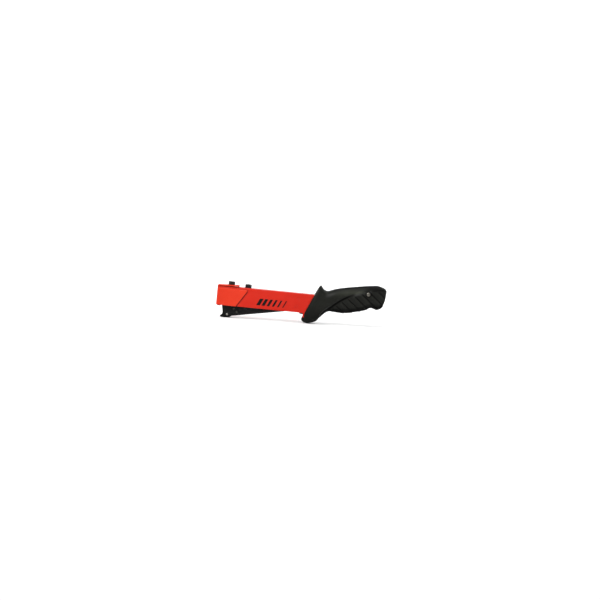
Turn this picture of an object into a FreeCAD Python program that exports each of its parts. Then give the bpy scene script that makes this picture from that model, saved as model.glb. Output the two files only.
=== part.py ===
import FreeCAD, Part
import math
import os

# Hammer tacker. The body channel lies along X, nose at -X, grip at +X, Z up, sizes in mm.
# Everything is drawn with the body level, then turned so that toe and grip lobe share the floor.

V = FreeCAD.Vector

# body channel and head
BODY_H = 35.0          # height of the pressed channel
BODY_W = 24.0          # outside width
BODY_T = 1.6           # sheet thickness
BODY_LOW = -0.5        # lower edge of the channel
COVER_T = 2.0          # sheet thickness of the head cover
FLAP_END = 39.9        # rear end of the top flap
NUT_X = (25.2, 56.2)   # the two M6 bolts
NUT_AF = 10.4          # nuts, across flats
NUT_H = 5.8
BOLT_AF = 10.0         # bolt heads, across flats
BOLT_R = 3.0
WASHER_R = 6.4
STRIKER_LOW = -1.8     # lower edge of the block that strikes
RIVET_Z = (20.0, 25.0)  # the two rivets that hold the blade

# magazine, drawn level in its own frame: u along X, w along Z, then tilted
TILT = 10.52           # how far it hangs open
MAG_X, MAG_Z = 12.0, -22.8
MAG_H = 17.6           # top of the channel above the sole line
MAG_W = 13.8
MAG_T = 1.2
MAG_LOW = 3.0          # lower edge of the channel walls
MAG_END = 147.0
PIVOT = (138.6, 7.1)   # swing pin, in the magazine frame
SWING = 7.0            # closing swing, degrees
NOSE_W = 16.0
RAIL_PIN = (10.8, 4.0)
NOSE_RIVET = (24.0, 13.2)
WALL_RIVET = (28.9, 6.2)
RAIL_END = 131.0
RAIL_W = 9.2           # staples with a 10.6 mm crown sit over it
RAIL_TOP = 13.0
ROD_W = 9.0            # height of the follower's guide rod
FOLLOWER = (12.0, 20.0)

# springs: radius of the coil, wire, length, turns
RETURN_COIL = (8.4, 1.5, 25.6, 6.0)
FOLLOWER_COIL = (2.35, 0.5, 108.4, 18)
LATCH_COIL = (2.0, 0.5, 6.0, 4)

# grip
GRIP_SCREW = (278.0, 44.9)
SKIN = 2.2             # thickness of the soft cover
GROOVE_PITCH = 12.15
GROOVE_ANGLE = 39.0
GROOVE_START = 177.7   # distance of the middle groove from the origin, square to the grooves

parts = {}


def prism(pts, y0, y1):
    wire = Part.makePolygon([V(x, y0, z) for x, z in pts] + [V(pts[0][0], y0, pts[0][1])])
    return Part.Face(wire).extrude(V(0, y1 - y0, 0))


def box(x0, x1, y0, y1, z0, z1):
    return Part.makeBox(x1 - x0, y1 - y0, z1 - z0, V(x0, y0, z0))


def pin(x, z, r, y0, y1):
    return Part.makeCylinder(r, y1 - y0, V(x, y0, z), V(0, 1, 0))


def upright(x, r, z0, z1, y=0.0):
    return Part.makeCylinder(r, z1 - z0, V(x, y, z0), V(0, 0, 1))


def pair(shape):
    return Part.makeCompound([shape, shape.mirror(V(0, 0, 0), V(0, 1, 0))])


def dome(x, z, r, y, height, out):
    # a domed head on the plane y, rising by height in the direction out (+1 or -1)
    ball = (r * r + height * height) / (2 * height)
    sphere = Part.makeSphere(ball, V(x, y - out * (ball - height), z))
    keep = pin(x, z, r + 1, min(y, y + out * height), max(y, y + out * height))
    return sphere.common(keep)


def coil(radius, wire, length, turns):
    helix = Part.makeHelix(length / turns, length, radius)
    ring = Part.Wire([Part.makeCircle(wire / 2, V(radius, 0, 0), V(0, 1, 0))])
    return Part.Wire(helix.Edges).makePipeShell([ring], True, True)


def tilted(shape):
    out = shape.copy()
    out.rotate(V(0, 0, 0), V(0, 1, 0), -TILT)
    out.translate(V(MAG_X, 0, MAG_Z))
    return out


def hang_point(u, w):
    a = math.radians(TILT)
    return (MAG_X + u * math.cos(a) - w * math.sin(a), MAG_Z + u * math.sin(a) + w * math.cos(a))


def fillet_along(shape, radius, test):
    return shape.makeFillet(radius, [e for e in shape.Edges if test(e)])


def near(value, target):
    return abs(value - target) < 0.01


def top_edge(half, low):
    # edges that run along the top corners of a channel whose half width is half
    def test(e):
        a, b = e.Vertexes[0].Point, e.Vertexes[-1].Point
        side = near(abs(a.y), half) and near(abs(b.y), half)
        return side and abs(a.x - b.x) > 1 and min(a.z, b.z) > low(min(a.x, b.x))
    return test


pivot = hang_point(*PIVOT)
half = BODY_W / 2
inner = half - BODY_T
roof = BODY_H - BODY_T

# ---------------------------------------------------------------- body channel
BODY_TOP = [(292, 48.0), (262, 45.0), (215, 36.5), (200, BODY_H), (COVER_T, BODY_H)]
BODY_FOOT = [(COVER_T, BODY_LOW), (160.8, BODY_LOW), (160.8, -8.5), (180, -8.5), (197, 11.5),
             (222, 22), (290, 34)]
outer_body = prism(BODY_FOOT + BODY_TOP, -half, half)
outer_body = fillet_along(outer_body, 3.2, top_edge(half, lambda x: 30 if x < 200 else 34))
under_top = [(x + (3 if x > 290 else 0), z - BODY_T) for x, z in BODY_TOP[:-1]]
hollow = prism([(-1, -40), (295, -40)] + under_top + [(-1, roof)], -inner, inner)
hollow = fillet_along(hollow, 1.6, top_edge(inner, lambda x: 28 if x < 200 else 32))
channel = outer_body.cut(hollow)
hang_pin = hang_point(MAG_END - 2.0, MAG_H + 2.55)
holes = [pin(pivot[0], pivot[1], 2.5, -20, 20), pin(hang_pin[0], hang_pin[1], 2.5, -20, 20),
         pin(GRIP_SCREW[0], GRIP_SCREW[1], 2.6, -20, 20)]
holes += [upright(x, BOLT_R + 0.2, 20, 40) for x in NUT_X]
parts["body_channel"] = channel.cut(Part.makeCompound(holes))

parts["magazine_pin"] = pin(pivot[0], pivot[1], 2.5, -half, half)
parts["hang_pin"] = pin(hang_pin[0], hang_pin[1], 2.5, -half, half)

# ---------------------------------------------------------------- head cover
wide = half + COVER_T
bent = box(0, 60, -wide, wide, -0.6, 36.6)
bent = fillet_along(bent, 2.6, lambda e: near(e.CenterOfMass.x, 0) and near(abs(e.CenterOfMass.y), wide))
flap = prism([(0, -0.2), (36.3, -0.6), (55.3, 28.9), (54.6, 31.0), (3.2, 32.0), (1.2, 36.6), (0, 36.6)],
             -20, 20)
bent = bent.cut(box(COVER_T, 70, -half, half, -5, 50)).common(flap)
lid = prism([(0.8, 35.0), (2.0, 35.0), (FLAP_END, 36.2), (FLAP_END, 38.5), (4.0, 37.1), (0.8, 36.6)],
            -half + 1.2, half - 1.2)
cover = bent.fuse(lid)
parts["head_cover"] = cover.cut(upright(NUT_X[0], BOLT_R + 0.2, 30, 45)).removeSplitter()

# ---------------------------------------------------------------- striker, blade, bolts
lean = TILT - SWING
slope = math.tan(math.radians(lean))
a = math.radians(lean)
ru, rw = 5.15 - PIVOT[0], -1.0 - PIVOT[1]
tip = (pivot[0] + ru * math.cos(a) - rw * math.sin(a), pivot[1] + ru * math.sin(a) + rw * math.cos(a))


def blade_x(z, off):
    return tip[0] - slope * (z - tip[1]) + off


block_w, block_top = inner - 0.2, roof - 0.1
striker = prism([(2.2, STRIKER_LOW), (8.5, STRIKER_LOW), (8.5, 16.6), (blade_x(16.6, -0.56), 16.6),
                 (blade_x(28.4, -0.56), 28.4), (33.5, 28.4), (33.5, block_top), (2.2, block_top)],
                -block_w, block_w)
striker = fillet_along(striker, 1.8, lambda e: near(abs(e.CenterOfMass.y), block_w)
                       and near(e.CenterOfMass.z, block_top))
rivets = [Part.makeCylinder(1.5, 14, V(3.0, 0, z), V(1, 0, 0)) for z in RIVET_Z]
striker = striker.cut(Part.makeCompound([upright(NUT_X[0], BOLT_R + 0.1, 25, 35)] + rivets))
parts["striker_block"] = striker
blade = prism([(blade_x(27.9, -0.55), 27.9), (blade_x(27.9, 0.55), 27.9),
               (tip[0] + 0.55, tip[1] + 0.03), (tip[0] - 0.55, tip[1] - 0.03)], -5.2, 5.2)
parts["driver_blade"] = blade.cut(Part.makeCompound(rivets))
heads = []
for z in RIVET_Z:
    x = blade_x(z - 2.4, 0.58)
    shank = Part.makeCylinder(1.48, x - 3.0, V(3.0, 0, z), V(1, 0, 0))
    heads.append(shank.fuse(Part.makeCylinder(2.4, 1.2, V(x, 0, z), V(1, 0, 0))))
parts["blade_rivets"] = Part.makeCompound(heads)


def hexagon(x, z0, z1, flats):
    r = flats / math.sqrt(3)
    pts = [V(x + r * math.cos(i * math.pi / 3), r * math.sin(i * math.pi / 3), z0) for i in range(6)]
    body = Part.Face(Part.makePolygon(pts + [pts[0]])).extrude(V(0, 0, z1 - z0))
    return body.common(Part.makeCone(r + (z1 - z0), r - 0.9, z1 - z0, V(x, 0, z0), V(0, 0, 1)))


# the front nut stands on the sloping lid, so its washer is a wedge; the rear one is flat on the body
seats = (38.3, 35.8)          # undersides of the nuts, on their washers
head_tops = (28.4, 31.2)      # tops of the bolt heads, under the block and under the spring cup
washer_feet = (36.8, BODY_H)  # the front one starts inside the lid and is cut to it
washers, nuts, bolts = [], [], []
for x, seat, under, foot in zip(NUT_X, seats, head_tops, washer_feet):
    washer = upright(x, WASHER_R, foot, seat).cut(upright(x, BOLT_R + 0.2, 30, 45))
    washers.append(washer.cut(parts["head_cover"]))
    nuts.append(hexagon(x, seat, seat + NUT_H, NUT_AF).cut(upright(x, BOLT_R, 30, 50)))
    bolts.append(upright(x, BOLT_R, under, seat + NUT_H - 0.6).fuse(hexagon(x, under - 3.8, under, BOLT_AF)))
parts["head_nuts"] = Part.makeCompound(nuts)
parts["head_bolts"] = Part.makeCompound(bolts)
parts["nut_washers"] = Part.makeCompound(washers)

# ---------------------------------------------------------------- stop and return spring
cup = upright(NUT_X[1], 7.6, roof - 2.2, roof).cut(upright(NUT_X[1], BOLT_R, 20, 45))
parts["spring_cup"] = cup.fuse(upright(NUT_X[1], 9.2, roof - 0.8, roof).cut(upright(NUT_X[1], 7.6, 20, 45)))
spring = coil(*RETURN_COIL)
spring.translate(V(NUT_X[1], 0, 6.0))
parts["return_spring"] = spring
stop = box(79, 92, -7, 7, 17.2, roof)
parts["bump_stop"] = stop.makeFillet(1.2, [e for e in stop.Edges if near(e.BoundBox.ZMin, 17.2)])

# ---------------------------------------------------------------- magazine channel and nose
mw = MAG_W / 2
mi = mw - MAG_T
tube = box(4.4, MAG_END, -mw, mw, MAG_LOW, MAG_H)
tube = fillet_along(tube, 1.6, lambda e: near(abs(e.CenterOfMass.y), mw)
                    and e.CenterOfMass.z > 17 and e.Length > 50)
tube = tube.cut(box(-5, 200, -mi, mi, -5, MAG_H - MAG_T))
tube = tube.cut(box(-5, 7.4, -mi, mi, 0, 30))
tube = tube.cut(Part.makeCompound([pin(*PIVOT, 4.0, -20, 20)]
                                  + [pin(*at, 1.5, -20, 20) for at in (RAIL_PIN, WALL_RIVET, NOSE_RIVET)]))
seat_ring = upright(45.2, 10.0, MAG_H, MAG_H + 0.7).cut(upright(45.2, 6.4, 0, 40))
seat_ring = seat_ring.common(box(0, 99, -7, 7, 0, 40))
parts["magazine_channel"] = tilted(tube)
parts["spring_seat"] = tilted(seat_ring)

toe = [(-3.0, 2.9), (-2.6, 2.0), (0.4, 0.1), (4.1, -1.0), (4.2, 21.5), (3.0, 21.5), (3.0, 10.2)]
toe_top = [(2.6, 7.6), (1.5, 5.4), (-0.5, 3.9)]
toe_solid = prism(toe + toe_top, -NOSE_W / 2, NOSE_W / 2)
cheek = prism([(3.0, 21.5), (3.0, 4), (4.1, -1.0), (15.2, -1.6), (19.0, 0.9), (23.4, 2.0), (27.7, 16.6),
               (27.2, 17.6), (14.0, 17.8), (9.0, 21.5)], mw, NOSE_W / 2)
nose = toe_solid.fuse([cheek, cheek.mirror(V(0, 0, 0), V(0, 1, 0))])
nose = nose.cut(Part.makeCompound([pin(*at, 1.5, -20, 20) for at in (RAIL_PIN, NOSE_RIVET)]))
nose = fillet_along(nose, 1.0, lambda e: all(near(abs(v.Point.y), NOSE_W / 2) and near(v.Point.x, 3.0)
                                             for v in (e.Vertexes[0], e.Vertexes[-1])))
parts["nose_block"] = tilted(nose.removeSplitter())


def side_rivet(u, w, base, r, depth):
    return pin(u, w, 1.5, base - depth, base).fuse(dome(u, w, r, base, 0.9, 1))


nose_rivets = [side_rivet(*NOSE_RIVET, NOSE_W / 2, 2.0, 2.2), side_rivet(*WALL_RIVET, mw, 2.0, 1.1)]
parts["nose_rivets"] = tilted(Part.makeCompound([pair(r) for r in nose_rivets]))
pin_heads = [dome(*RAIL_PIN, 2.1, NOSE_W / 2, 0.8, 1), dome(*RAIL_PIN, 2.1, -NOSE_W / 2, 0.8, -1)]
rail_pin = pin(*RAIL_PIN, 1.5, -NOSE_W / 2, NOSE_W / 2).fuse(pin_heads)
parts["rail_pin"] = tilted(rail_pin)
bush = pin(*PIVOT, 4.0, -10.2, 10.2).cut(pin(*PIVOT, 2.55, -20, 20))
parts["pivot_bush"] = tilted(bush)

# ---------------------------------------------------------------- staple rail and follower
rw2 = RAIL_W / 2
side = [(6.6, RAIL_TOP), (6.6, 6.5), (9.0, 0), (RAIL_END, 0), (RAIL_END, RAIL_TOP)]
rail = prism(side, -rw2, rw2).cut(box(0, 200, -rw2 + 1.2, rw2 - 1.2, 1.2, 30))
lugs = [box(7.4, 8.9, -rw2 + 1.2, rw2 - 1.2, 3.9, 12), box(129.4, RAIL_END, -rw2 + 1.2, rw2 - 1.2, 1.2, 12)]
lip = box(RAIL_END, 134.0, -3.0, 3.0, 0, 1.2)
rail = rail.fuse(lugs + [lip])
rail = rail.cut(Part.makeCompound([pin(*RAIL_PIN, 1.55, -20, 20),
                                   Part.makeCylinder(1.25, 140, V(0, 0, ROD_W), V(1, 0, 0))]))
parts["staple_rail"] = tilted(rail)
parts["guide_rod"] = tilted(Part.makeCylinder(1.25, RAIL_END - 7.4, V(7.4, 0, ROD_W), V(1, 0, 0)))
slider = box(*FOLLOWER, -5.3, 5.3, RAIL_TOP + 0.15, 15.8)
slider = slider.fuse(box(*FOLLOWER, -3.1, 3.1, 5.8, RAIL_TOP + 0.15))
slider = slider.cut(Part.makeCylinder(1.32, 60, V(0, 0, ROD_W), V(1, 0, 0)))
parts["follower"] = tilted(slider.removeSplitter())
long_spring = coil(*FOLLOWER_COIL)
long_spring.rotate(V(0, 0, 0), V(0, 1, 0), 90)
long_spring.translate(V(FOLLOWER[1] + 0.4, 0, ROD_W))
parts["follower_spring"] = tilted(long_spring)

# ---------------------------------------------------------------- rail latch
px, pz = PIVOT
hub = pin(px, pz, 5.6, -5.2, 5.2)
arm = prism([(132.9, -1.4), (132.9, -0.15), (134.35, -0.15), (134.35, 3.4), (px, pz), (px + 1.5, 2.2),
             (137.2, -1.4)], -4.6, 4.6)
pad = box(px, 148.2, -3.4, 3.4, 7.2, 9.3)
tail = prism([(px + 1.0, pz - 5.2), (142.3, -2.9), (144.2, -6.6), (149.7, -8.1), (150.3, -6.0), (148.6, 0.5),
              (148.2, 9.2), (px + 2, pz + 2)], -5.0, 5.0)
latch = hub.fuse([arm, pad, tail]).cut(pin(px, pz, 4.06, -20, 20))
parts["rail_latch"] = tilted(latch.removeSplitter())
short = coil(*LATCH_COIL)
short.translate(V(145.4, 0, 9.75))
parts["latch_spring"] = tilted(short)

# ---------------------------------------------------------------- grip
# stations from the front lip to the butt: foot point, crown point, half width, squareness
STATIONS = [
    ((158.0, -13.2), (185.9, 49.4), 13.6, 3.2),
    ((161.8, -17.0), (189.6, 53.0), 15.2, 3.0),
    ((168.4, -19.0), (193.8, 48.4), 16.2, 3.0),
    ((176.5, -18.2), (199.6, 44.4), 16.6, 2.8),
    ((186.5, -13.8), (205.6, 44.6), 16.6, 2.7),
    ((195.4, -5.2), (211.5, 46.9), 16.4, 2.6),
    ((206.0, 3.4), (220.0, 49.6), 16.2, 2.6),
    ((220.5, 4.8), (231.0, 52.3), 16.0, 2.6),
    ((240.0, 5.1), (247.0, 55.4), 16.0, 2.6),
    ((262.0, 10.2), (266.0, 58.7), 16.2, 2.6),
    ((276.6, 14.8), (278.0, 60.5), 16.4, 2.6),
    ((285.4, 19.0), (286.8, 61.6), 16.4, 2.7),
    ((292.5, 17.4), (293.2, 62.2), 16.2, 2.7),
    ((300.0, 17.6), (299.2, 61.2), 16.0, 2.8),
    ((308.0, 27.4), (308.2, 57.6), 14.6, 3.0),
    ((309.8, 34.4), (311.4, 54.6), 11.6, 3.0),
]


def section(foot, crown, wide_half, square, shrink):
    cx, cz = (foot[0] + crown[0]) / 2, (foot[1] + crown[1]) / 2
    hx, hz = (crown[0] - foot[0]) / 2, (crown[1] - foot[1]) / 2
    length = math.hypot(hx, hz)
    k = (length - shrink) / length
    pts = []
    for i in range(24):
        t = 2 * math.pi * i / 24
        c, s = math.cos(t), math.sin(t)
        y = (wide_half - shrink) * math.copysign(abs(c) ** (2 / square), c)
        v = k * math.copysign(abs(s) ** (2 / square), s)
        pts.append(V(cx + hx * v, y, cz + hz * v))
    curve = Part.BSplineCurve()
    curve.interpolate(Points=pts, PeriodicFlag=True)
    return Part.Wire([curve.toShape()])


def grip_form(shrink, skip=0):
    rows = [section(*s, shrink) for s in STATIONS[skip:len(STATIONS) - skip]]
    return Part.makeLoft(rows, True, False)


form = grip_form(0.0)
under = grip_form(SKIN, 1)
middle = grip_form(SKIN / 2)
pocket = prism([(150, BODY_LOW), (150, -8.5)] + BODY_FOOT[3:] + BODY_TOP[:-1] + [(150, BODY_H)], -half, half)

# the soft cover lies below and behind this sweeping edge
SWEEP = [(193.5, -2.5), (200.0, 5.6), (208.3, 12.7), (217.4, 20.6), (233, 32.4), (246.3, 39.8),
         (257.9, 45.2), (270.6, 49.3), (288.0, 53.0), (307.2, 56.7), (318, 59.0)]
edge = Part.BSplineCurve()
edge.interpolate([V(x, -40, z) for x, z in SWEEP])
rim = Part.makePolygon([V(318, -40, 59), V(330, -40, 59), V(330, -40, -60), V(193.5, -40, -60),
                        V(193.5, -40, -2.5)])
zone = Part.Face(Part.Wire([edge.toShape()] + rim.Edges)).extrude(V(0, 80, 0))
grooves = []
g = math.radians(GROOVE_ANGLE)
for k in range(-4, 5):
    slab = Part.makeBox(140, 80, 2.0, V(-70, -40, -1.0))
    slab.rotate(V(0, 0, 0), V(0, 1, 0), GROOVE_ANGLE)
    reach = GROOVE_START + GROOVE_PITCH * k
    along = 270 * math.cos(g) - 30 * math.sin(g)
    slab.translate(V(reach * math.sin(g) + along * math.cos(g), 0, reach * math.cos(g) - along * math.sin(g)))
    grooves.append(slab)
soft = form.common(zone).cut(under)
soft = soft.cut(Part.makeCompound(grooves).common(zone).cut(middle))
sx, sz = GRIP_SCREW
recess = Part.makeCompound([pin(sx, sz, 5.4, -30, -12.6), pin(sx, sz, 5.4, 12.6, 30)])
bore = pin(sx, sz, 2.6, -30, 30)
core = form.cut(form.common(zone).cut(under)).cut(pocket)
parts["grip_core"] = core.cut(recess).cut(bore)
parts["grip_cover"] = soft.cut(pocket).cut(recess)
parts["grip_screw"] = pin(sx, sz, 2.5, -12.6, 14.4).fuse(dome(sx, sz, 4.2, -12.6, 2.4, -1))
parts["grip_nut"] = pin(sx, sz, 4.2, 12.6, 14.6).cut(pin(sx, sz, 2.5, 0, 30))

# ---------------------------------------------------------------- stand it up and write it out
toe_low = hang_point(4.1, -1.0)
toe_point = V(toe_low[0], 0, toe_low[1])
lobe_x = 170.0    # where the grip lobe meets the floor, roughly
turn = 0.0
for _ in range(4):
    probe = parts["grip_core"].copy()
    probe.rotate(toe_point, V(0, 1, 0), turn)
    turn += math.degrees(math.atan2(probe.BoundBox.ZMin - toe_low[1], lobe_x - toe_low[0]))
turn = round(turn, 3)
stood = {}
for name, shape in parts.items():
    stood[name] = shape.copy()
    stood[name].rotate(toe_point, V(0, 1, 0), turn)
bounds = [s.BoundBox for s in stood.values()]
mid_x = (min(b.XMin for b in bounds) + max(b.XMax for b in bounds)) / 2
floor = min(b.ZMin for b in bounds)
os.makedirs("parts", exist_ok=True)
for name, s in stood.items():
    s.translate(V(-mid_x, 0, -floor))
    s.exportStep(f"parts/{name}.step")
print("turn", turn, "shift", -mid_x, 0.0, -floor, "toe", toe_low)
for name, s in stood.items():
    b = s.BoundBox
    print(f"{name:18s} {s.isValid()} {len(s.Solids)} vol {s.Volume:9.1f}"
          f"  x {b.XMin:7.1f} {b.XMax:7.1f} y {b.YMin:6.1f} {b.YMax:6.1f} z {b.ZMin:6.1f} {b.ZMax:6.1f}")
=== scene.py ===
import math

import bmesh
import bpy
import numpy as np
from mathutils import Matrix, Vector


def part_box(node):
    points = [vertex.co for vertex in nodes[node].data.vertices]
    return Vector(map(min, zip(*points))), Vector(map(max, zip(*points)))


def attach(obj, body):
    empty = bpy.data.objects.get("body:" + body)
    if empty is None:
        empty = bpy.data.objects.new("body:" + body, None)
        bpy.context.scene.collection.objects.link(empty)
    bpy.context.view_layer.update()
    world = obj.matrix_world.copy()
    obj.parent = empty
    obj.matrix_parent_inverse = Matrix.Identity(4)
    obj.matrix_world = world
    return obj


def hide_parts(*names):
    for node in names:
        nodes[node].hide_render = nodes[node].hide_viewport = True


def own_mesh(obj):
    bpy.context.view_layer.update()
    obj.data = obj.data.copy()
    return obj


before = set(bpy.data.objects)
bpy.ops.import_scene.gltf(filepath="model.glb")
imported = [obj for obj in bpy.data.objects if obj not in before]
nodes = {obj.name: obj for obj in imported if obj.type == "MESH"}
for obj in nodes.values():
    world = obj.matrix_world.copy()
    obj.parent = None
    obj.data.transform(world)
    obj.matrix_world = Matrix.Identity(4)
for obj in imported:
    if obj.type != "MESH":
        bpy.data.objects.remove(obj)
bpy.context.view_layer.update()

MM = 0.001
CLOSE = 1e-4            # millimetres: points and edges nearer than this count as one

# ------------------------------------------------------------------ frames
# Pieces are drawn in millimetres. The body frame has the body level, x from the nose to the butt
# and z up. The magazine frame has the magazine level: x along it from the nose, z up from its sole.
TILT = math.radians(10.52)
MAG_ORIGIN = Vector((12.0, 0.0, -22.8))
PIVOT = Vector((138.6, 0.0, 7.1))       # swing pin, in the magazine frame
HANG = Vector((145.0, 0.0, 20.15))      # pin that the open magazine hangs on, in the magazine frame
SCREW = Vector((278.0, 0.0, 44.9))      # grip screw, in the body frame


def centre(node):
    """The middle of a CAD node's box."""
    low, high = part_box(node)
    return (Vector(low) + Vector(high)) / 2


def flat(v):
    """The point moved onto the middle plane of the tool."""
    return Vector((v.x, 0.0, v.z))


# the body frame is found from where two CAD nodes stand: the swing pin and the nut of the grip screw
MAG_IN_BODY = Matrix.Translation(MAG_ORIGIN) @ Matrix.Rotation(-TILT, 4, "Y")
pivot_body = MAG_IN_BODY @ PIVOT
hang_body = MAG_IN_BODY @ HANG
drawn = SCREW - pivot_body
stood = flat(centre("grip_nut")) - flat(centre("magazine_pin"))
TURN = math.atan2(drawn.z, drawn.x) - math.atan2(stood.z, stood.x)
BODY = (Matrix.Translation(flat(centre("magazine_pin"))) @ Matrix.Rotation(TURN, 4, "Y")
        @ Matrix.Scale(MM, 4) @ Matrix.Translation(-pivot_body))
MAG = BODY @ MAG_IN_BODY


# ------------------------------------------------------------------ mesh helpers
def rounded(points):
    """An outline from corners (x, y) or (x, y, radius), with each radius as an arc."""
    out = []
    n = len(points)
    for i, p in enumerate(points):
        here = Vector(p[:2])
        radius = p[2] if len(p) > 2 else 0.0
        if radius <= 0:
            out.append(here)
            continue
        a = (Vector(points[i - 1][:2]) - here).normalized()
        b = (Vector(points[(i + 1) % n][:2]) - here).normalized()
        half = a.angle(b) / 2
        reach = radius / math.tan(half)
        middle = here + (a + b).normalized() * (radius / math.sin(half))
        start, end = here + a * reach - middle, here + b * reach - middle
        sweep = start.angle_signed(end)
        steps = max(3, round(abs(math.degrees(sweep)) / 11))
        for k in range(steps + 1):
            t = -sweep * k / steps
            c, s = math.cos(t), math.sin(t)
            out.append(middle + Vector((start.x * c - start.y * s, start.x * s + start.y * c)))
    return out


def prism(outline, low, high, axis="Y"):
    """A closed solid: an outline of (x, z) pulled along Y, of (x, y) along Z, or of (y, z) along X."""
    put = {"X": lambda a, b, d: (d, a, b),
           "Y": lambda a, b, d: (a, d, b),
           "Z": lambda a, b, d: (a, b, d)}[axis]
    bm = bmesh.new()
    rings = [[bm.verts.new(put(p[0], p[1], d)) for p in outline] for d in (low, high)]
    for ring in rings:
        bm.faces.new(ring)
    n = len(outline)
    for i in range(n):
        j = (i + 1) % n
        bm.faces.new((rings[0][i], rings[0][j], rings[1][j], rings[1][i]))
    bmesh.ops.recalc_face_normals(bm, faces=bm.faces)
    return bm


def lathe(profile, segments=48):
    """A solid of revolution about Z from (radius, z) points that run from the axis to the axis."""
    bm = bmesh.new()
    angles = [2 * math.pi * i / segments for i in range(segments)]
    rings = []
    for r, z in profile:
        if r < CLOSE:
            rings.append([bm.verts.new((0, 0, z))])
        else:
            rings.append([bm.verts.new((r * math.cos(a), r * math.sin(a), z)) for a in angles])
    for a, b in zip(rings, rings[1:]):
        for i in range(segments):
            j = (i + 1) % segments
            loop = [a[i % len(a)], a[j % len(a)], b[j % len(b)], b[i % len(b)]]
            bm.faces.new(list(dict.fromkeys(loop)))
    bmesh.ops.recalc_face_normals(bm, faces=bm.faces)
    return bm


def bevel_long(bm, half, above, radius, segments=7):
    """Rounds the long top corners of a prism pulled along Y."""
    edges = []
    for e in bm.edges:
        a, b = e.verts[0].co, e.verts[1].co
        on_side = abs(abs(a.y) - half) < CLOSE and abs(a.y - b.y) < CLOSE
        if on_side and abs(a.x - b.x) > 1.0 and min(a.z, b.z) > above:
            edges.append(e)
    bmesh.ops.bevel(bm, geom=edges, offset=radius, segments=segments, profile=0.5, affect="EDGES")
    return bm


def solid(bm, matrix=None, name="solid"):
    """An object from a finished mesh, which is used up."""
    if matrix is not None:
        bmesh.ops.transform(bm, matrix=matrix, verts=bm.verts)
    mesh = bpy.data.meshes.new(name)
    bm.to_mesh(mesh)
    bm.free()
    obj = bpy.data.objects.new(name, mesh)
    bpy.context.scene.collection.objects.link(obj)
    return obj


def cylinder(r, low, high, matrix, segments=40):
    """A cylinder about Z, moved by the matrix."""
    return solid(lathe([(0, low), (r, low), (r, high), (0, high)], segments), matrix)


def rod(x, z, r, low, high, segments=40):
    """A cylinder across the tool, from y low to y high."""
    lying = Matrix.Translation((x, 0, z)) @ Matrix.Rotation(math.radians(-90), 4, "X")
    return cylinder(r, low, high, lying, segments)


def post(x, r, low, high):
    """An upright cylinder on the middle plane, from z low to z high."""
    return cylinder(r, low, high, Matrix.Translation((x, 0, 0)))


def drop(obj):
    """Removes an object and its mesh."""
    mesh = obj.data
    bpy.data.objects.remove(obj)
    bpy.data.meshes.remove(mesh)


def twin_of(obj):
    """A copy of the object with its own mesh."""
    twin = bpy.data.objects.new("twin", obj.data.copy())
    bpy.context.scene.collection.objects.link(twin)
    return twin


def apply(obj):
    """Turns the object's modifiers into its mesh."""
    bpy.context.view_layer.update()
    graph = bpy.context.evaluated_depsgraph_get()
    mesh = bpy.data.meshes.new_from_object(obj.evaluated_get(graph))
    old = obj.data
    obj.modifiers.clear()
    obj.data = mesh
    bpy.data.meshes.remove(old)


def combine(obj, others, how, solver="EXACT"):
    """Boolean of obj with each of the others, which are used up."""
    for other in others:
        mod = obj.modifiers.new("bool", "BOOLEAN")
        mod.operation = how
        mod.solver = solver
        mod.object = other
        apply(obj)
        drop(other)
    return obj


def joined(pieces):
    """One object from several, which are used up."""
    bm = bmesh.new()
    for piece in pieces:
        bm.from_mesh(piece.data)
        drop(piece)
    return solid(bm)


def soften(obj, width, segments, angle):
    """Rounds every edge that turns by more than the angle, in degrees."""
    mod = obj.modifiers.new("bevel", "BEVEL")
    mod.width = width
    mod.segments = segments
    mod.limit_method = "ANGLE"
    mod.angle_limit = math.radians(angle)
    mod.miter_outer = "MITER_ARC"
    apply(obj)


def clean(mesh):
    """Merges the doubled points and removes the empty faces that a boolean leaves."""
    bm = bmesh.new()
    bm.from_mesh(mesh)
    bmesh.ops.remove_doubles(bm, verts=bm.verts, dist=CLOSE)
    bmesh.ops.dissolve_degenerate(bm, edges=bm.edges, dist=CLOSE)
    bm.to_mesh(mesh)
    bm.free()


def place(obj, name, matrix, material, body, replaced=(), sharp=32.0, weigh=True):
    """Names the finished piece, puts it in the row frame and ties it to its body."""
    obj.name = name
    obj.data.name = name
    obj.data.transform(matrix)
    for poly in obj.data.polygons:
        poly.use_smooth = True
    obj.data.set_sharp_from_angle(angle=math.radians(sharp))
    obj.data.materials.clear()
    obj.data.materials.append(material)
    if weigh:
        even_out = obj.modifiers.new("weighted normals", "WEIGHTED_NORMAL")
        even_out.keep_sharp = True
    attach(obj, body)
    if replaced:
        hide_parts(*replaced)
    return obj


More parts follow.
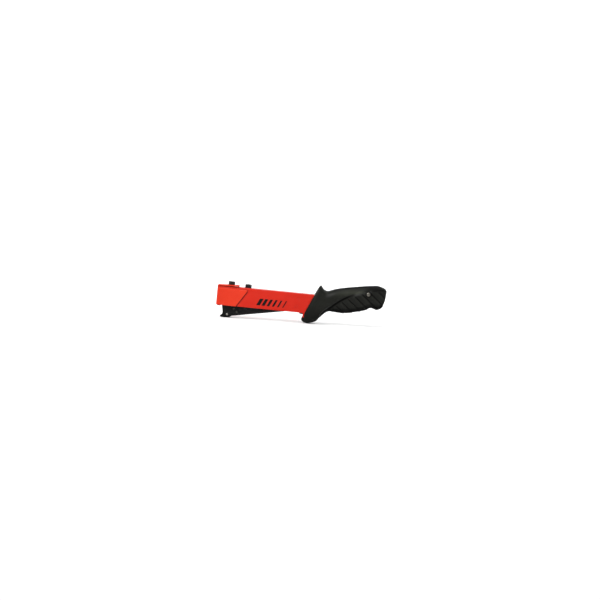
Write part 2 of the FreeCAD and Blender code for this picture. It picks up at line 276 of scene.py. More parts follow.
# ------------------------------------------------------------------ materials
class Look:
    """A node material, built one node at a time."""

    def __init__(self, name):
        self.material = bpy.data.materials.new(name)
        self.material.use_nodes = True
        self.tree = self.material.node_tree
        self.shader = self.tree.nodes["Principled BSDF"]
        self.coords = self.tree.nodes.new("ShaderNodeTexCoord").outputs["Object"]

    def node(self, kind, inputs=None, **settings):
        made = self.tree.nodes.new(kind)
        for key, value in settings.items():
            setattr(made, key, value)
        for key, value in (inputs or {}).items():
            if isinstance(value, bpy.types.NodeSocket):
                self.tree.links.new(value, made.inputs[key])
            else:
                made.inputs[key].default_value = value
        return made

    def noise(self, scale, detail, rough=0.5, stretch=None):
        vector = self.coords
        if stretch:
            vector = self.node("ShaderNodeMapping", {"Vector": vector, "Scale": stretch}).outputs["Vector"]
        inputs = {"Vector": vector, "Scale": scale, "Detail": detail, "Roughness": rough}
        return self.node("ShaderNodeTexNoise", inputs).outputs["Fac"]

    def ramp(self, value, low, high, out_low=0.0, out_high=1.0):
        inputs = {"Value": value, "From Min": low, "From Max": high, "To Min": out_low, "To Max": out_high}
        return self.node("ShaderNodeMapRange", inputs, clamp=True).outputs["Result"]

    def math(self, how, a, b):
        return self.node("ShaderNodeMath", {0: a, 1: b}, operation=how).outputs[0]

    def mix(self, factor, a, b):
        """Colour a where the factor is 0 and colour b where it is 1."""
        made = self.node("ShaderNodeMix", data_type="RGBA")
        for index, value in ((0, factor), (6, a), (7, b)):
            if isinstance(value, bpy.types.NodeSocket):
                self.tree.links.new(value, made.inputs[index])
            else:
                made.inputs[index].default_value = value if index == 0 else (*value, 1.0)
        return made.outputs[2]

    def edges(self, radius):
        """1 on edges and 0 on flats, from how far the rounded normal leaves the true one."""
        rounded_off = self.node("ShaderNodeBevel", {"Radius": radius}, samples=4).outputs["Normal"]
        true = self.node("ShaderNodeNewGeometry").outputs["Normal"]
        agree = self.node("ShaderNodeVectorMath", {0: rounded_off, 1: true}, operation="DOT_PRODUCT")
        return self.ramp(agree.outputs["Value"], 0.98, 0.75)

    def crevice_shade(self, reach, open_at, shut_at):
        """An ambient-occlusion mask for painting shade: 1 deep in corners and seams, 0 in the open."""
        made = self.node("ShaderNodeAmbientOcclusion", {"Distance": reach}, samples=8)
        return self.ramp(made.outputs["AO"], shut_at, open_at, 1.0, 0.0)

    def bump(self, height, distance, strength, below=None):
        """A normal from a height, on top of the bump below if there is one."""
        inputs = {"Height": height, "Distance": distance, "Strength": strength}
        if below is not None:
            inputs["Normal"] = below
        return self.node("ShaderNodeBump", inputs).outputs["Normal"]

    def set(self, **sockets):
        """Sets or links the shader's sockets and gives back the finished material."""
        names = {"color": "Base Color", "rough": "Roughness", "metal": "Metallic", "normal": "Normal",
                 "specular": "Specular IOR Level"}
        for key, value in sockets.items():
            socket = self.shader.inputs[names[key]]
            if isinstance(value, bpy.types.NodeSocket):
                self.tree.links.new(value, socket)
            elif key == "color":
                socket.default_value = (*value, 1.0)
            else:
                socket.default_value = value
        return self.material


def scaled(color, factor):
    return tuple(c * factor for c in color)


def powder_coat(name, deep, bright, primer):
    """Semi-gloss powder coat with orange peel, slight shade drift, scuffs, chipped edges and painted shade in
    crevices and seams.
    """
    look = Look(name)
    drift = look.ramp(look.noise(22.0, 2.0), 0.35, 0.65)
    color = look.mix(drift, deep, bright)
    speck = look.ramp(look.noise(900.0, 2.0), 0.66, 0.74, 0.0, 0.35)
    color = look.mix(speck, color, scaled(deep, 0.75))
    chip = look.math("MULTIPLY", look.edges(0.0005), look.ramp(look.noise(420.0, 4.0, 0.6), 0.60, 0.72))
    color = look.mix(chip, color, primer)
    # painted shade: the coat darkens where occlusion is high, along seams such as the edge of the head
    # cover's flap
    color = look.mix(look.crevice_shade(0.004, 0.88, 0.68), color, scaled(deep, 0.12))
    scuff = look.ramp(look.noise(260.0, 4.0, 0.65, (0.25, 1.0, 1.0)), 0.52, 0.72, 0.0, 0.13)
    rough = look.math("ADD", look.ramp(look.noise(70.0, 3.0), 0.3, 0.7, 0.30, 0.38), scuff)
    peel = look.bump(look.noise(1100.0, 1.5, 0.4), 0.00003, 0.35)
    return look.set(color=color, rough=rough, normal=peel, specular=0.16)


def black_steel(name, base, rough, scuffs):
    """Lacquered or oxide-black pressed steel: long handling scuffs and brighter rubbed edges."""
    look = Look(name)
    shade = look.ramp(look.noise(60.0, 3.0), 0.3, 0.7)
    color = look.mix(shade, (base * 0.75, base * 0.75, base * 0.78), (base * 1.3, base * 1.3, base * 1.3))
    lines = look.ramp(look.noise(700.0, 4.0, 0.6, (0.04, 1.0, 1.0)), 0.60, 0.70, 0.0, scuffs)
    color = look.mix(lines, color, (0.05, 0.05, 0.052))
    worn = look.math("MULTIPLY", look.edges(0.0004), look.ramp(look.noise(500.0, 3.0, 0.6), 0.42, 0.66))
    color = look.mix(worn, color, (0.17, 0.165, 0.16))
    patches = look.ramp(look.noise(140.0, 3.0), 0.3, 0.7, rough - 0.05, rough + 0.08)
    roughness = look.math("ADD", patches, look.math("MULTIPLY", lines, 0.2))
    fine = look.bump(look.noise(1600.0, 2.0, 0.5), 0.00002, 0.4)
    return look.set(color=color, rough=roughness, normal=fine, specular=0.09)


def bare_steel(name, tone, rough, stretch=(0.05, 1.0, 1.0), stain=0.25):
    """Bare, plated or ground steel with fine directional lines and faint staining."""
    look = Look(name)
    lines = look.noise(2600.0, 3.0, 0.6, stretch)
    cloud = look.ramp(look.noise(130.0, 4.0, 0.6), 0.42, 0.75, 0.0, stain)
    color = look.mix(cloud, tone, scaled(tone, 0.45))
    brush = look.ramp(lines, 0.3, 0.7, rough - 0.06, rough + 0.08)
    roughness = look.math("ADD", brush, look.math("MULTIPLY", cloud, 0.4))
    brushed = look.bump(lines, 0.00001, 0.5)
    return look.set(color=color, rough=roughness, normal=brushed, metal=1.0)


def moulded(name, low, high, rough, grain, depth, shade=None):
    """Moulded grip polymer: spark-eroded grain, slight polish, dust and painted shade in grooves and corners.
    The point attribute named by shade
    holds painted light: 1 where shade is painted dark and dull and -1 where a highlight is painted pale."""
    look = Look(name)
    cloud = look.ramp(look.noise(45.0, 3.0), 0.3, 0.7)
    color = look.mix(cloud, low, high)
    dust = look.ramp(look.noise(900.0, 3.0, 0.6), 0.60, 0.78, 0.0, 0.25)
    color = look.mix(dust, color, (0.05, 0.05, 0.046))
    # painted shade in grooves, corners and seams
    color = look.mix(look.crevice_shade(0.003, 0.80, 0.45), color, scaled(low, 0.1))
    specular = 0.12
    # the shade attribute paints shade dark and dull where it is positive and paints a highlight pale where it
    # is negative
    if shade:
        mask = look.node("ShaderNodeAttribute", attribute_name=shade).outputs["Fac"]
        color = look.mix(look.ramp(mask, 0.0, 1.0), color, scaled(low, 0.15))
        color = look.mix(look.ramp(mask, -1.0, 0.0, 1.0, 0.0), color, scaled(high, 4.6))
        specular = look.ramp(mask, 0.0, 1.0, 0.12, 0.03)
    polish = look.ramp(look.noise(90.0, 3.0, 0.6), 0.35, 0.7, rough - 0.05, rough + 0.07)
    cells = look.node("ShaderNodeTexVoronoi", {"Vector": look.coords, "Scale": grain}).outputs["Distance"]
    coarse = look.bump(cells, depth, 0.5)
    fine = look.bump(look.noise(grain * 1.7, 2.0, 0.6), depth * 0.6, 0.5, coarse)
    return look.set(color=color, rough=polish, normal=fine, specular=specular)


RED = powder_coat("red_powder_coat",
                  (0.440, 0.0110, 0.0030), (0.475, 0.014, 0.0045), (0.08, 0.007, 0.005))
# a lighter copy of the red coat for the head cover: painted light, brighter as if the head catches more of
# the lamp
RED_HEAD_LIT = powder_coat("red_powder_coat_head_lit",
                       (0.515, 0.023, 0.006), (0.555, 0.028, 0.008), (0.09, 0.009, 0.005))
BLACK = black_steel("black_lacquer", 0.0035, 0.36, 0.4)
OXIDE = black_steel("black_oxide", 0.014, 0.30, 0.25)
BLOCK = black_steel("phosphated_block", 0.030, 0.55, 0.2)
ZINC = bare_steel("zinc_plate", (0.68, 0.67, 0.64), 0.24, (1.0, 1.0, 0.3))
DOME = bare_steel("screw_steel", (0.125, 0.118, 0.102), 0.30, (1.0, 1.0, 0.3), 0.4)
RUBBED = bare_steel("rubbed_black_steel", (0.055, 0.052, 0.047), 0.38, (1.0, 1.0, 1.0), 0.8)
PEENED = bare_steel("peened_pin_steel", (0.26, 0.25, 0.23), 0.38, (1.0, 1.0, 1.0), 0.6)
GROUND = bare_steel("ground_steel", (0.50, 0.50, 0.51), 0.28)
WIRE = bare_steel("spring_wire", (0.36, 0.35, 0.34), 0.33, (1.0, 1.0, 1.0), 0.35)
STOP = moulded("stop_rubber", (0.014, 0.014, 0.014), (0.020, 0.020, 0.020), 0.66, 900.0, 0.00006)
SHELL = moulded("grip_moulding", (0.0060, 0.0065, 0.0048), (0.0078, 0.0084, 0.0062),
                0.42, 1500.0, 0.00003, "shade")
SOFT = moulded("grip_soft", (0.0042, 0.0046, 0.0034), (0.0056, 0.0060, 0.0046),
               0.50, 1900.0, 0.00005, "shade")
PRINT = moulded("black_print", (0.0020, 0.0018, 0.0017), (0.0032, 0.0028, 0.0026), 0.45, 1200.0, 0.00001)

# ------------------------------------------------------------------ body channel
BODY_W, BODY_H, BODY_T, BODY_LOW = 12.0, 35.0, 1.6, -0.5    # half width, height, sheet, lower edge
COVER_T = 2.0                           # sheet of the head cover
BEND = 3.2                              # outer radius of the long bends
PIN_HOLE, BOLT_HOLE = 2.52, 3.2         # radii
NUT_X = (25.2, 56.2)
THROUGH = 20                            # cutters across the tool reach this far out on both sides

TOP = [(292, 48.0), (262, 45.0), (215, 36.5), (200, BODY_H), (COVER_T, BODY_H)]
FOOT = [(COVER_T, BODY_LOW), (160.8, BODY_LOW), (160.8, -8.5), (180, -8.5), (197, 11.5), (222, 22), (290, 34)]
BODY_IN = BODY_W - BODY_T
outer = solid(bevel_long(prism(FOOT + TOP, -BODY_W, BODY_W), BODY_W, 34.0, BEND))
ceiling = [(x, z - BODY_T) for x, z in TOP[:-1]]
inside = [(-1, -40), (300, -40), (300, TOP[0][1] - BODY_T)] + ceiling + [(-1, BODY_H - BODY_T)]
hollow = solid(bevel_long(prism(inside, -BODY_IN, BODY_IN), BODY_IN, 32.0, BEND - BODY_T))
channel = combine(outer, [hollow], "DIFFERENCE")
pin_holes = [rod(pin.x, pin.z, PIN_HOLE, -THROUGH, THROUGH) for pin in (pivot_body, hang_body)]
combine(channel, pin_holes + [post(x, BOLT_HOLE, 20, 50) for x in NUT_X], "DIFFERENCE")
clean(channel.data)
soften(channel, 0.28, 2, 50.0)
place(channel, "body_channel_sheet", BODY, RED, "tool_body", ["body_channel"])

# ------------------------------------------------------------------ head cover
WIDE = BODY_W + COVER_T
COVER_BACK, LID_BACK = 62, 39.9
LID_W = BODY_W - 0.6
plan = rounded([(0, -WIDE, 2.9), (COVER_BACK, -WIDE), (COVER_BACK, -BODY_W), (COVER_T, -BODY_W, 0.8),
                (COVER_T, BODY_W, 0.8), (COVER_BACK, BODY_W), (COVER_BACK, WIDE), (0, WIDE, 2.9)])
bent = solid(prism(plan, -0.6, 34.2, "Z"))
flap = rounded([(-1, -0.2), (36.3, -0.6, 0.8), (55.6, 29.4, 1.6), (53.8, 31.4, 1.0), (-1, 31.9)])
cover = combine(bent, [solid(prism(flap, -THROUGH, THROUGH))], "INTERSECT")
# the top edge of each side flap is chamfered outwards
for side in (-1, 1):
    wedge_out, wedge_in = side * (WIDE + 0.6), side * (BODY_W - 0.1)
    wedge = [(wedge_out, 29.2), (wedge_out, 34.0), (wedge_in, 34.0), (wedge_in, 32.2)]
    combine(cover, [solid(prism(wedge, -1.0, COVER_BACK, "X"))], "DIFFERENCE")
lid_side = rounded([(0, 30.0), (0, 36.8, 2.6), (3.4, 37.1, 3.0), (LID_BACK, 38.5, 0.5),
                    (LID_BACK, 36.15, 0.5), (3.0, 35.0), (COVER_T, 34.2), (COVER_T, 30.0)])
lid_plan = rounded([(-1, -LID_W), (LID_BACK, -LID_W, 2.2), (LID_BACK, LID_W, 2.2), (-1, LID_W)])
lid = combine(solid(prism(lid_side, -LID_W, LID_W)), [solid(prism(lid_plan, 20, 50, "Z"))], "INTERSECT")
combine(cover, [lid], "UNION")
combine(cover, [post(NUT_X[0], BOLT_HOLE, 30, 45)], "DIFFERENCE")
clean(cover.data)
soften(cover, 0.32, 2, 40.0)
place(cover, "head_cover_sheet", BODY, RED_HEAD_LIT, "tool_body", ["head_cover"])

# ------------------------------------------------------------------ printed stripes on both sides
INK = 0.04                              # stands this far out of the sheet
STRIPE_COUNT, STRIPE_X, STRIPE_STEP = 6, 74.0, 9.6
STRIPE_LOW, STRIPE_HIGH, STRIPE_SLANT = 5.6, 18.2, 6.0
STRIPE_WIDE, STRIPE_LESS = 6.6, 0.9     # width of the first, and by how much each next one is narrower
STRIPE_R = 0.3
stripes = []
for k in range(STRIPE_COUNT):
    left = STRIPE_X + STRIPE_STEP * k
    right = left + (STRIPE_WIDE - STRIPE_LESS * k)
    corners = [(left, STRIPE_LOW), (right, STRIPE_LOW),
               (right + STRIPE_SLANT, STRIPE_HIGH), (left + STRIPE_SLANT, STRIPE_HIGH)]
    bar = rounded([(x, z, STRIPE_R) for x, z in corners])
    for low, high in ((-BODY_W - INK, -BODY_W + 0.2), (BODY_W - 0.2, BODY_W + INK)):
        stripes.append(solid(prism(bar, low, high)))
place(joined(stripes), "side_stripes", BODY, PRINT, "tool_body")

# ------------------------------------------------------------------ nuts, bolts, washers
NUT_H, NUT_AF, HEAD_H, HEAD_AF, PITCH = 5.8, 10.4, 3.8, 10.0, 1.0
SEATS = (38.3, 35.8)                    # undersides of the two nuts
UNDER = (28.4, 31.2)                    # tops of the two bolt heads
NUT_TURNS = (0.03, 0.08)                # radians, as a spanner left them
SHANK_R, NUT_BORE, BORE_MOUTH = 2.9, 2.95, 3.5


def hexagon(low, high, across, turn):
    """A hexagonal prism whose corners are cut by a 30 degree cone at each end."""
    r = across / math.sqrt(3)
    corners = [turn + i * math.pi / 3 for i in range(6)]
    body = solid(prism([(r * math.cos(a), r * math.sin(a)) for a in corners], low, high, "Z"))
    flat_r, far_r = across / 2 * 0.97, r + 0.2
    rise = (far_r - flat_r) * math.tan(math.radians(30))
    cones = [(0, low), (flat_r, low), (far_r, low + rise), (far_r, high - rise), (flat_r, high), (0, high)]
    return combine(body, [solid(lathe(cones, 96))], "INTERSECT")


def thread(low, high, r):
    """Stacked 60 degree ridges for the exposed end of a bolt, with a chamfered tip."""
    profile = [(0, low - 0.1)]
    for k in range(round((high - low) / PITCH)):
        root = low + k * PITCH
        profile += [(r - 0.55, root), (r, root + 0.42), (r, root + 0.58)]
    profile += [(r - 0.5, high), (r - 1.0, high + 0.35), (0, high + 0.35)]
    return lathe(profile, 40)


nuts, bolts = [], []
for x, seat, under, turn in zip(NUT_X, SEATS, UNDER, NUT_TURNS):
    top = seat + NUT_H
    nut = hexagon(seat, top, NUT_AF, turn)
    bore = lathe([(0, seat - 1), (BORE_MOUTH, seat - 1), (NUT_BORE, seat + 0.5), (NUT_BORE, top - 0.5),
                  (BORE_MOUTH, top + 0.05), (BORE_MOUTH, top + 1), (0, top + 1)], 48)
    combine(nut, [solid(bore)], "DIFFERENCE")
    soften(nut, 0.18, 2, 25.0)
    nut.data.transform(Matrix.Translation((x, 0, 0)))
    nuts.append(nut)
    head = hexagon(under - HEAD_H, under, HEAD_AF, turn + 0.4)
    soften(head, 0.15, 2, 25.0)
    shank = cylinder(SHANK_R, under - 0.5, seat + 1.0, None)
    tip = solid(thread(seat + 1.0, top - 0.95, SHANK_R))
    for piece in (head, shank, tip):
        piece.data.transform(Matrix.Translation((x, 0, 0)))
        bolts.append(piece)
place(joined(nuts), "head_nuts_m6", BODY, OXIDE, "tool_body", ["head_nuts"], 28.0)
place(joined(bolts), "head_bolts_m6", BODY, OXIDE, "tool_body", ["head_bolts"], 28.0)

WASHER_R, WASHER_IN = 6.4, 3.3
WASHER_FEET = (37.96, BODY_H + 0.01)    # the front one stands on the lid, the rear one on the body
WASHER_SLOPES = (0.039, 0.0)            # and the front one's foot follows the rise of the lid
washers = []
for x, seat, foot, slope in zip(NUT_X, SEATS, WASHER_FEET, WASHER_SLOPES):
    ring = lathe([(WASHER_IN, foot), (WASHER_R - 0.15, foot), (WASHER_R, foot + 0.08),
                  (WASHER_R, seat - 0.05), (WASHER_R - 0.05, seat), (WASHER_IN, seat), (WASHER_IN, foot)], 64)
    bmesh.ops.remove_doubles(ring, verts=ring.verts, dist=CLOSE / 10)
    for v in ring.verts:
        if v.co.z < foot + 0.1:
            v.co.z += slope * v.co.x
    washers.append(solid(ring, Matrix.Translation((x, 0, 0))))
place(joined(washers), "nut_washers_m6", BODY, OXIDE, "tool_body", ["nut_washers"])

# ------------------------------------------------------------------ magazine
MAG_W, MAG_T = 6.9, 1.2                 # half width and sheet
MAG_IN = MAG_W - MAG_T
MAG_LOW, MAG_H, MAG_FRONT, MAG_END = 3.0, 17.6, 4.4, 147.0
NOSE_W = 8.0
RAIL_PIN = (10.8, 4.0)
RAIL_PIN_R, RAIL_PIN_HOLE, BUSH_HOLE = 1.5, 1.52, 4.03

tube_side = [(MAG_FRONT, MAG_LOW), (MAG_END, MAG_LOW), (MAG_END, MAG_H), (MAG_FRONT, MAG_H)]
tube = solid(bevel_long(prism(tube_side, -MAG_W, MAG_W), MAG_W, 17.0, 1.7, 6))
bore_side = [(-5, -5), (200, -5), (200, MAG_H - MAG_T), (-5, MAG_H - MAG_T)]
bore = solid(bevel_long(prism(bore_side, -MAG_IN, MAG_IN), MAG_IN, 16.0, 0.6, 3))
mouth = solid(prism([(-5, 0), (7.4, 0), (7.4, 30), (-5, 30)], -MAG_IN, MAG_IN))
bush_hole = rod(PIVOT.x, PIVOT.z, BUSH_HOLE, -THROUGH, THROUGH)
combine(tube, [bore, mouth, bush_hole, rod(*RAIL_PIN, RAIL_PIN_HOLE, -THROUGH, THROUGH)], "DIFFERENCE")
# a shallow stiffening bead is rolled along each wall
bead = rounded([(34.0, 9.6, 0.9), (128.0, 9.6, 0.9), (128.0, 11.6, 0.9), (34.0, 11.6, 0.9)])
for side in (-1, 1):
    combine(tube, [solid(prism(bead, side * (MAG_W - 0.3), side * (MAG_W + 1.0)))], "DIFFERENCE")
clean(tube.data)
soften(tube, 0.16, 2, 50.0)
place(tube, "magazine_channel_sheet", MAG, BLACK, "magazine", ["magazine_channel"])

# the nose is a front plate that curls out into the toe, with a cheek folded back on each side
toe = rounded([(-3.0, 3.0, 0.3), (-2.7, 1.9, 0.5), (0.4, 0.1, 3.0), (4.1, -1.0), (4.2, 21.5, 0.4),
               (3.0, 21.5, 0.4), (3.0, 10.4, 3.0), (2.5, 7.4, 3.0), (1.2, 5.2, 3.0), (-0.8, 3.9, 3.0)])
cheek = rounded([(3.05, 21.5, 0.6), (3.05, 4.0), (4.1, -1.0, 0.3), (15.2, -1.6, 1.5), (19.0, 0.9, 2.0),
                 (23.4, 2.0, 0.9), (27.7, 16.6, 0.8), (27.2, 17.6, 0.3), (20.0, 17.8, 2.0), (15.0, 19.4, 2.0),
                 (9.0, 21.5, 1.5)])
nose = solid(prism(toe, -NOSE_W, NOSE_W))
cheeks = [solid(prism(cheek, *span)) for span in ((-NOSE_W, -MAG_W), (MAG_W, NOSE_W))]
combine(nose, cheeks, "UNION")
combine(nose, [rod(*RAIL_PIN, RAIL_PIN_HOLE, -THROUGH, THROUGH)], "DIFFERENCE")
clean(nose.data)
soften(nose, 0.3, 3, 42.0)
place(nose, "nose_block_forged", MAG, BLACK, "magazine", ["nose_block"])


def rivet_head(x, z, face, r, rise, side):
    """A domed rivet head on one side of the magazine, with a small flat on top and a stem below."""
    stem = r * 0.72
    profile = [(0, -1.0), (stem, -1.0), (stem, 0.0), (r, 0.02), (r * 0.99, rise * 0.30),
               (r * 0.86, rise * 0.66), (r * 0.62, rise * 0.90), (r * 0.32, rise), (0, rise)]
    outwards = Matrix.Translation((x, side * face, z)) @ Matrix.Rotation(math.radians(-90 * side), 4, "X")
    return solid(lathe(profile, 36), outwards)


NOSE_RIVETS = ((24.0, 13.2, NOSE_W), (28.9, 6.2, MAG_W))    # x, z and the face that each stands on
RIVET_R, RIVET_RISE, PEEN_R, PEEN_RISE = 2.0, 0.85, 2.1, 0.78
heads = [rivet_head(x, z, face, RIVET_R, RIVET_RISE, side) for x, z, face in NOSE_RIVETS for side in (-1, 1)]
place(joined(heads), "nose_rivet_heads", MAG, RUBBED, "magazine", ["nose_rivets"], 60.0)
ends = [rivet_head(*RAIL_PIN, NOSE_W, PEEN_R, PEEN_RISE, side) for side in (-1, 1)]
ends.append(rod(*RAIL_PIN, RAIL_PIN_R, -NOSE_W + 0.5, NOSE_W - 0.5))
place(joined(ends), "rail_pin_peened", MAG, PEENED, "magazine", ["rail_pin"], 60.0)


# ------------------------------------------------------------------ springs
def coil(radius, wire, length, turns, closed=1.0, per_turn=28, around=10):
    """A compression spring along Z from 0 to length, with closed end turns."""
    n = int(turns * per_turn)
    pts = []
    dead = closed / turns
    for i in range(n + 1):
        t = i / n
        if t < dead:
            z = wire * closed * t / dead
        elif t > 1 - dead:
            z = length - wire * closed * (1 - t) / dead
        else:
            z = wire * closed + (length - 2 * wire * closed) * (t - dead) / (1 - 2 * dead)
        a = 2 * math.pi * turns * t
        pts.append(Vector((radius * math.cos(a), radius * math.sin(a), z)))
    bm = bmesh.new()
    rings = []
    for i, p in enumerate(pts):
        ahead = (pts[min(i + 1, n)] - pts[max(i - 1, 0)]).normalized()
        out = Vector((p.x, p.y, 0)).normalized()
        up = ahead.cross(out).normalized()
        rings.append([bm.verts.new(p + (out * math.cos(b) + up * math.sin(b)) * wire / 2)
                      for b in [2 * math.pi * k / around for k in range(around)]])
    for a, b in zip(rings, rings[1:]):
        for k in range(around):
            bm.faces.new((a[k], a[(k + 1) % around], b[(k + 1) % around], b[k]))
    for ring in (rings[0], rings[-1]):
        bm.faces.new(ring)
    bmesh.ops.recalc_face_normals(bm, faces=bm.faces)
    return bm


def spring(name, bm, matrix, body, node):
    """Places a coil on its body, in place of the CAD node, with a mesh of its own."""
    obj = place(solid(bm), name, matrix, WIRE, body, [node], 60.0, False)
    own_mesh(obj)


on_seat = Matrix.Translation((NUT_X[1], 0, 6.0))
spring("return_spring_coil", coil(8.4, 1.5, 25.6, 6.0), BODY @ on_seat, "tool_body", "return_spring")
on_rod = Matrix.Translation((20.4, 0, 9.0)) @ Matrix.Rotation(math.radians(90), 4, "Y")
spring("follower_spring_coil", coil(2.35, 0.5, 108.4, 18, 1.0, 20, 8), MAG @ on_rod, "rail",
       "follower_spring")
on_latch = Matrix.Translation((145.4, 0, 9.6))
spring("latch_spring_coil", coil(2.0, 0.5, 6.4, 4, 0.5, 24, 8), MAG @ on_latch, "magazine",
       "latch_spring")

# ------------------------------------------------------------------ grip
# stations from the front lip to the butt: foot point, crown point, half width, squareness
STATIONS = [
    ((158.0, -13.2), (185.9, 49.4), 13.6, 3.2),
    ((161.8, -17.0), (189.6, 53.0), 15.2, 3.0),
    ((168.4, -19.0), (193.8, 48.4), 16.2, 3.0),
    ((176.5, -18.2), (199.6, 44.4), 16.6, 2.8),
    ((186.5, -13.8), (205.6, 44.6), 16.6, 2.7),
    ((195.4, -5.2), (211.5, 46.9), 16.4, 2.6),
    ((206.0, 3.4), (220.0, 49.6), 16.2, 2.6),
    ((220.5, 4.8), (231.0, 52.3), 16.0, 2.6),
    ((240.0, 5.1), (247.0, 55.4), 16.0, 2.6),
    ((262.0, 10.2), (266.0, 58.7), 16.2, 2.6),
    ((276.6, 14.8), (278.0, 60.5), 16.4, 2.6),
    ((285.4, 19.0), (286.8, 61.6), 16.4, 2.7),
    ((292.5, 17.4), (293.2, 62.2), 16.2, 2.7),
    ((300.0, 17.6), (299.2, 61.2), 16.0, 2.8),
    ((308.0, 27.4), (308.2, 57.6), 14.6, 3.0),
    ((309.8, 34.4), (311.4, 54.6), 11.6, 3.0),
]
# the sweep is the S-shaped line where the soft cover meets the hard moulding
SWEEP = [(193.5, -2.5), (200.0, 5.6), (208.3, 12.7), (217.4, 20.6), (233, 32.4), (246.3, 39.8),
         (257.9, 45.2), (270.6, 49.3), (288.0, 53.0), (307.2, 56.7), (318, 59.0)]
SWEEP_RISE = (187, 196)              # the step along the sweep fades in over this stretch of x
GROOVE = math.radians(39.0)
GROOVE_START, GROOVE_PITCH = 177.7, 12.15
GROOVE_W, GROOVE_D = 1.6, 1.2        # width and depth of a groove between ribs
GROOVE_AWAY = 3.0                    # grooves stop this far short of the sweep
GROOVE_MIDDLE = (270, 30)            # the groove cutters are centred near here
SHOULDER_D, SHOULDER_W = 2.2, 5.0    # the hard moulding rolls down to the soft cover along the sweep
SOFT_IN = 0.1                        # the soft cover's skin lies this far inside the grip's outline
SOFT_T, SOFT_GAP = 2.4, 0.05         # depth of the core under the soft cover, and the gap between them
LIP_R, BUTT_R = 2.2, 2.5
BUTT_KEEN = 0.4                      # in the side view the butt's rounding is only this part as deep
RECESS_R, RECESS_Y = 5.4, 12.6       # the two recesses of the grip screw
FAR = 40                             # cutters reach this far out on both sides


def spline(points, samples):
    """Natural cubic curve through rows of numbers, at parameters 0..1 by chord length."""
    p = np.asarray(points, float)
    chord = np.r_[0, np.cumsum(np.linalg.norm(np.diff(p[:, :2], axis=0), axis=1))]
    t = chord / chord[-1]
    n = len(t)
    h = np.diff(t)
    a = np.eye(n)
    b = np.zeros_like(p)
    for i in range(1, n - 1):
        a[i, i - 1:i + 2] = h[i - 1], 2 * (h[i - 1] + h[i]), h[i]
        b[i] = 6 * ((p[i + 1] - p[i]) / h[i] - (p[i] - p[i - 1]) / h[i - 1])
    m = np.linalg.solve(a, b)
    s = np.asarray(samples)
    k = np.clip(np.searchsorted(t, s) - 1, 0, n - 2)
    w = h[k][:, None]
    u, v = (t[k + 1] - s)[:, None], (s - t[k])[:, None]
    bend = (m[k] * u ** 3 + m[k + 1] * v ** 3) / (6 * w)
    return bend + (p[k] / w - m[k] * w / 6) * u + (p[k + 1] / w - m[k + 1] * w / 6) * v


def smooth(x, low, high):
    """0 up to low and 1 from high, with a smooth step between."""
    t = np.clip((x - low) / (high - low), 0, 1)
    return t * t * (3 - 2 * t)


sweep_line = spline(SWEEP, np.linspace(0, 1, 400))


def sweep_distance(x, z):
    """Signed distance to the sweep in the side view, positive on the soft side, below and behind it."""
    best = np.full(x.shape, 1e9)
    sign = np.ones(x.shape)
    for a, b in zip(sweep_line, sweep_line[1:]):
        d = b - a
        t = np.clip(((x - a[0]) * d[0] + (z - a[1]) * d[1]) / (d @ d), 0, 1)
        dx, dz = x - a[0] - t * d[0], z - a[1] - t * d[1]
        dist = np.hypot(dx, dz)
        near = dist < best
        best = np.where(near, dist, best)
        sign = np.where(near, np.where(d[0] * dz - d[1] * dx < 0, 1.0, -1.0), sign)
    return best * sign


def groove_phase(x, z):
    """0 at one groove, rising to 1 at the next."""
    phase = (x * math.sin(GROOVE) + z * math.cos(GROOVE) - GROOVE_START) / GROOVE_PITCH
    return phase - np.floor(phase)


def groove_cutter(k):
    """A slab across the grip that is groove k when it is cut to the groove zone."""
    half = GROOVE_W / 2
    slab = prism([(-70, -half), (70, -half), (70, half), (-70, half)], -FAR, FAR)
    s, c = math.sin(GROOVE), math.cos(GROOVE)
    middle = GROOVE_START + GROOVE_PITCH * k
    reach = GROOVE_MIDDLE[0] * c - GROOVE_MIDDLE[1] * s
    at = (middle * s + reach * c, 0, middle * c - reach * s)
    return solid(slab, Matrix.Translation(at) @ Matrix.Rotation(GROOVE, 4, "Y"))


def grip_surface(rows, columns, shrink=0.0):
    """Grid of points on the grip, rows along it and columns round it."""
    ease = np.linspace(0, 1, rows)
    s = ease + 0.012 * np.sin(-2 * np.pi * ease)
    table = spline([(*foot, *crown, w, n) for foot, crown, w, n in STATIONS], s)
    foot, crown, half, square = table[:, 0:2], table[:, 2:4], table[:, 4], table[:, 5]
    length = np.linalg.norm(crown - foot, axis=1) / 2
    run = np.r_[0, np.cumsum(np.linalg.norm(np.diff((crown + foot) / 2, axis=0), axis=1))]
    lip = np.clip(LIP_R - run, 0, LIP_R)
    butt = np.clip(BUTT_R - (run[-1] - run), 0, BUTT_R)
    round_lip = LIP_R - np.sqrt(LIP_R ** 2 - lip ** 2)
    round_butt = BUTT_R - np.sqrt(BUTT_R ** 2 - butt ** 2)
    inset = shrink + round_lip + round_butt
    inset_up = shrink + round_lip + BUTT_KEEN * round_butt
    t = 2 * np.pi * (np.arange(columns) + 0.5) / columns
    c, q = np.cos(t), np.sin(t)
    e = 2 / square[:, None]
    y = (half - inset)[:, None] * np.sign(c) * np.abs(c) ** e
    v = ((length - inset_up) / length)[:, None] * np.sign(q) * np.abs(q) ** e
    mid, arm = (foot + crown) / 2, (crown - foot) / 2
    return np.stack([mid[:, 0:1] + arm[:, 0:1] * v, y, mid[:, 1:2] + arm[:, 1:2] * v], axis=-1)


def even(grid):
    """Spaces each row's points evenly round its outline, so the corners don't bunch them."""
    out = np.empty_like(grid)
    n = grid.shape[1]
    for i, row in enumerate(grid):
        loop = np.vstack([row, row[:1]])
        chord = np.r_[0, np.cumsum(np.linalg.norm(np.diff(loop, axis=0), axis=1))]
        want = chord[-1] * np.arange(n) / n
        out[i] = np.stack([np.interp(want, chord, loop[:, k]) for k in range(3)], axis=-1)
    return out


